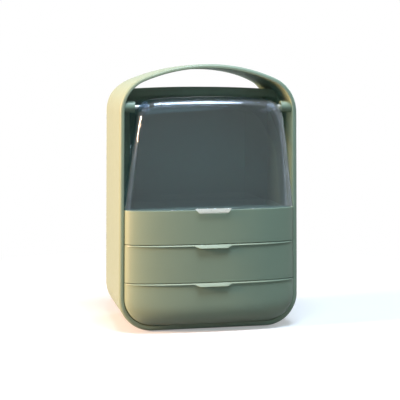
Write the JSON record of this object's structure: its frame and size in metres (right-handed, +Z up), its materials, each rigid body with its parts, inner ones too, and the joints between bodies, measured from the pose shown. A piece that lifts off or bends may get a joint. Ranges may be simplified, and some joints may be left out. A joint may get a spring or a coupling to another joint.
{
  "type": "makeup organizer",
  "caption": "Portable makeup organizer: a rounded band with a carrying handle holds a hinged clear hood over an open bin, with bow-fronted drawers below.",
  "frame": {"origin": "at floor level, under the centre of the object's box", "axes": "+X to the right seen from the front, +Y towards the back, +Z up"},
  "size_m": [0.272, 0.188, 0.394],
  "materials": {
    "sage_plastic": "satin moulded ABS in sage green",
    "inner_plastic": "moulded polypropylene in a paler sage",
    "clear_plastic": "clear polished polystyrene with a faint blue-grey tint",
    "acetal": "natural acetal",
    "silicone": "translucent silicone",
    "steel": "zinc-plated steel",
    "rubber": "matte moulded rubber"
  },
  "bodies": {
    "cabinet": {"outer_band": "sage_plastic", "rear_shell": "sage_plastic", "bin_shelf": "inner_plastic", "middle_shelf": "inner_plastic", "left_runner": "inner_plastic", "right_runner": "inner_plastic", "bin_front": "sage_plastic", "bin_tray": "inner_plastic", "bin_divider": "inner_plastic", "bin_screws": "steel", "left_hinge_pin": "steel", "right_hinge_pin": "steel", "left_hinge_bracket": "sage_plastic", "right_hinge_bracket": "sage_plastic", "hood_bumpers": "silicone", "rear_screws": "steel", "base_screws": "steel", "feet": "rubber"},
    "hood": {"hood_shell": "clear_plastic", "left_hood_bush": "acetal", "right_hood_bush": "acetal"},
    "upper_drawer": {"upper_drawer_front": "sage_plastic", "upper_drawer_tub": "inner_plastic", "upper_drawer_divider": "inner_plastic", "upper_drawer_screws": "steel"},
    "lower_drawer": {"lower_drawer_front": "sage_plastic", "lower_drawer_tub": "inner_plastic", "lower_drawer_divider": "inner_plastic", "lower_drawer_screws": "steel"}
  },
  "joints": [
    {"name": "hood_hinge", "type": "hinge", "parent": "cabinet", "child": "hood", "pos_m": [0, -0.053, 0.33166], "axis": [-1, 0, 0], "range_deg": [0, 90]},
    {"name": "upper_drawer_slide", "type": "slide", "parent": "cabinet", "child": "upper_drawer", "axis": [0, -1, 0], "range_m": [0, 0.12]},
    {"name": "lower_drawer_slide", "type": "slide", "parent": "cabinet", "child": "lower_drawer", "axis": [0, -1, 0], "range_m": [0, 0.12]}
  ]
}
